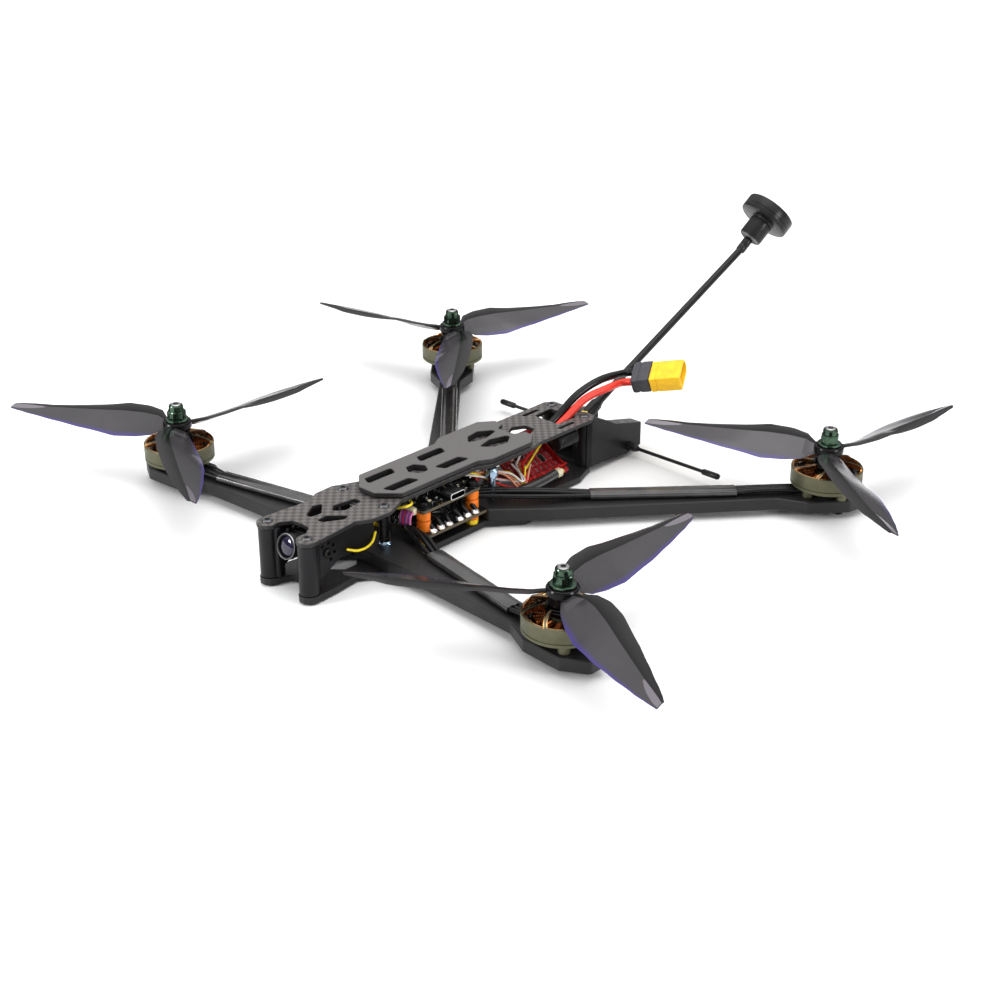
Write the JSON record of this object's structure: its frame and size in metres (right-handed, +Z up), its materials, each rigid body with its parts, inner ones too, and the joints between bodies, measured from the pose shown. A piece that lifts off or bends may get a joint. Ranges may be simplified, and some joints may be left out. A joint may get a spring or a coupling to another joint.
{
  "type": "fpv racing drone",
  "caption": "Carbon-frame racing multirotor with bladed propellers, open electronics bay, tilting nose camera, tail antennas and a battery lead.",
  "frame": {"origin": "midway between the four motor axes, on the underside of the bottom plate", "axes": "+Z up, -Y towards the nose and camera, +X to the drone's left side"},
  "size_m": [0.4067, 0.3588, 0.1069],
  "materials": {
    "carbon_plate": "woven carbon laminate, satin, with cut edges",
    "carbon_arm": "carbon laminate, satin, with layered edges",
    "deck_rubber": "matte black rubber sheet",
    "heat_shrink": "shrunk black tube",
    "printed_plastic": "printed in fine layers",
    "blue_steel": "blue zinc plated",
    "black_column": "black anodised",
    "antenna_plastic": "satin black",
    "camera_plastic": "matte black",
    "camera_glass": "coated lens",
    "orange_rubber": "soft orange sleeve",
    "circuit_black": "black circuit board with parts on it",
    "circuit_red": "red anodised sink on a red board",
    "capacitor_sleeve": "black shrunk sleeve",
    "plug_yellow": "yellow moulded nylon",
    "plug_grey": "dark grey moulded nylon",
    "gold_contact": "gold plated",
    "lead_black": "silicone insulation",
    "lead_red": "silicone insulation",
    "copper": "enamelled windings on a painted base",
    "olive_metal": "satin olive with a copper coloured top",
    "blade_plastic": "dark, with translucent violet edges",
    "green_metal": "green anodised"
  },
  "bodies": {
    "airframe": {"bottom_plate": "carbon_plate", "top_plate": "carbon_plate", "battery_plate": "carbon_plate", "battery_pad": "deck_rubber", "arm_front_left": "carbon_arm", "arm_front_right": "carbon_arm", "arm_rear_left": "carbon_arm", "arm_rear_right": "carbon_arm", "wire_sleeve_front_left": "heat_shrink", "wire_sleeve_front_right": "heat_shrink", "wire_sleeve_rear_left": "heat_shrink", "wire_sleeve_rear_right": "heat_shrink", "camera_side_left": "printed_plastic", "camera_side_right": "printed_plastic", "front_bolt_left": "blue_steel", "front_bolt_right": "blue_steel", "rear_bolt_left": "blue_steel", "rear_bolt_right": "blue_steel", "front_column_left": "black_column", "front_column_right": "black_column", "rear_column_left": "black_column", "rear_column_right": "black_column", "receiver_antenna_left": "antenna_plastic", "receiver_antenna_right": "antenna_plastic", "stack_post_front_left": "orange_rubber", "stack_post_rear_left": "orange_rubber", "stack_post_front_right": "orange_rubber", "stack_post_rear_right": "orange_rubber", "speed_controller": "circuit_black", "flight_controller": "circuit_black", "radio_receiver": "circuit_black", "video_transmitter": "circuit_red", "capacitor": "capacitor_sleeve", "antenna_mount": "printed_plastic", "video_antenna_stalk": "antenna_plastic", "video_antenna_head": "antenna_plastic", "plug_body": "plug_yellow", "plug_cap": "plug_grey", "plug_pin_black": "gold_contact", "plug_pin_red": "gold_contact", "battery_lead_black": "lead_black", "battery_lead_red": "lead_red", "motor_base_front_left": "copper", "motor_base_front_right": "copper", "motor_base_rear_left": "copper", "motor_base_rear_right": "copper"},
    "rotor_front_left": {"motor_bell_front_left": "olive_metal", "propeller_front_left": "blade_plastic", "prop_nut_front_left": "green_metal"},
    "rotor_front_right": {"motor_bell_front_right": "olive_metal", "propeller_front_right": "blade_plastic", "prop_nut_front_right": "green_metal"},
    "rotor_rear_left": {"motor_bell_rear_left": "olive_metal", "propeller_rear_left": "blade_plastic", "prop_nut_rear_left": "green_metal"},
    "rotor_rear_right": {"motor_bell_rear_right": "olive_metal", "propeller_rear_right": "blade_plastic", "prop_nut_rear_right": "green_metal"},
    "camera": {"camera_housing": "camera_plastic", "camera_lens": "camera_glass"}
  },
  "joints": [
    {"name": "spin_front_left", "type": "hinge", "parent": "airframe", "child": "rotor_front_left", "pos_m": [0.1207, -0.093, 0.02], "axis": [0, 0, 1], "continuous": true},
    {"name": "spin_front_right", "type": "hinge", "parent": "airframe", "child": "rotor_front_right", "pos_m": [-0.1207, -0.093, 0.02], "axis": [0, 0, 1], "continuous": true},
    {"name": "spin_rear_left", "type": "hinge", "parent": "airframe", "child": "rotor_rear_left", "pos_m": [0.1207, 0.093, 0.02], "axis": [0, 0, 1], "continuous": true},
    {"name": "spin_rear_right", "type": "hinge", "parent": "airframe", "child": "rotor_rear_right", "pos_m": [-0.1207, 0.093, 0.02], "axis": [0, 0, 1], "continuous": true},
    {"name": "camera_tilt", "type": "hinge", "parent": "airframe", "child": "camera", "pos_m": [0, -0.118, 0.018], "axis": [-1, 0, 0], "range_deg": [-15, 15]}
  ]
}
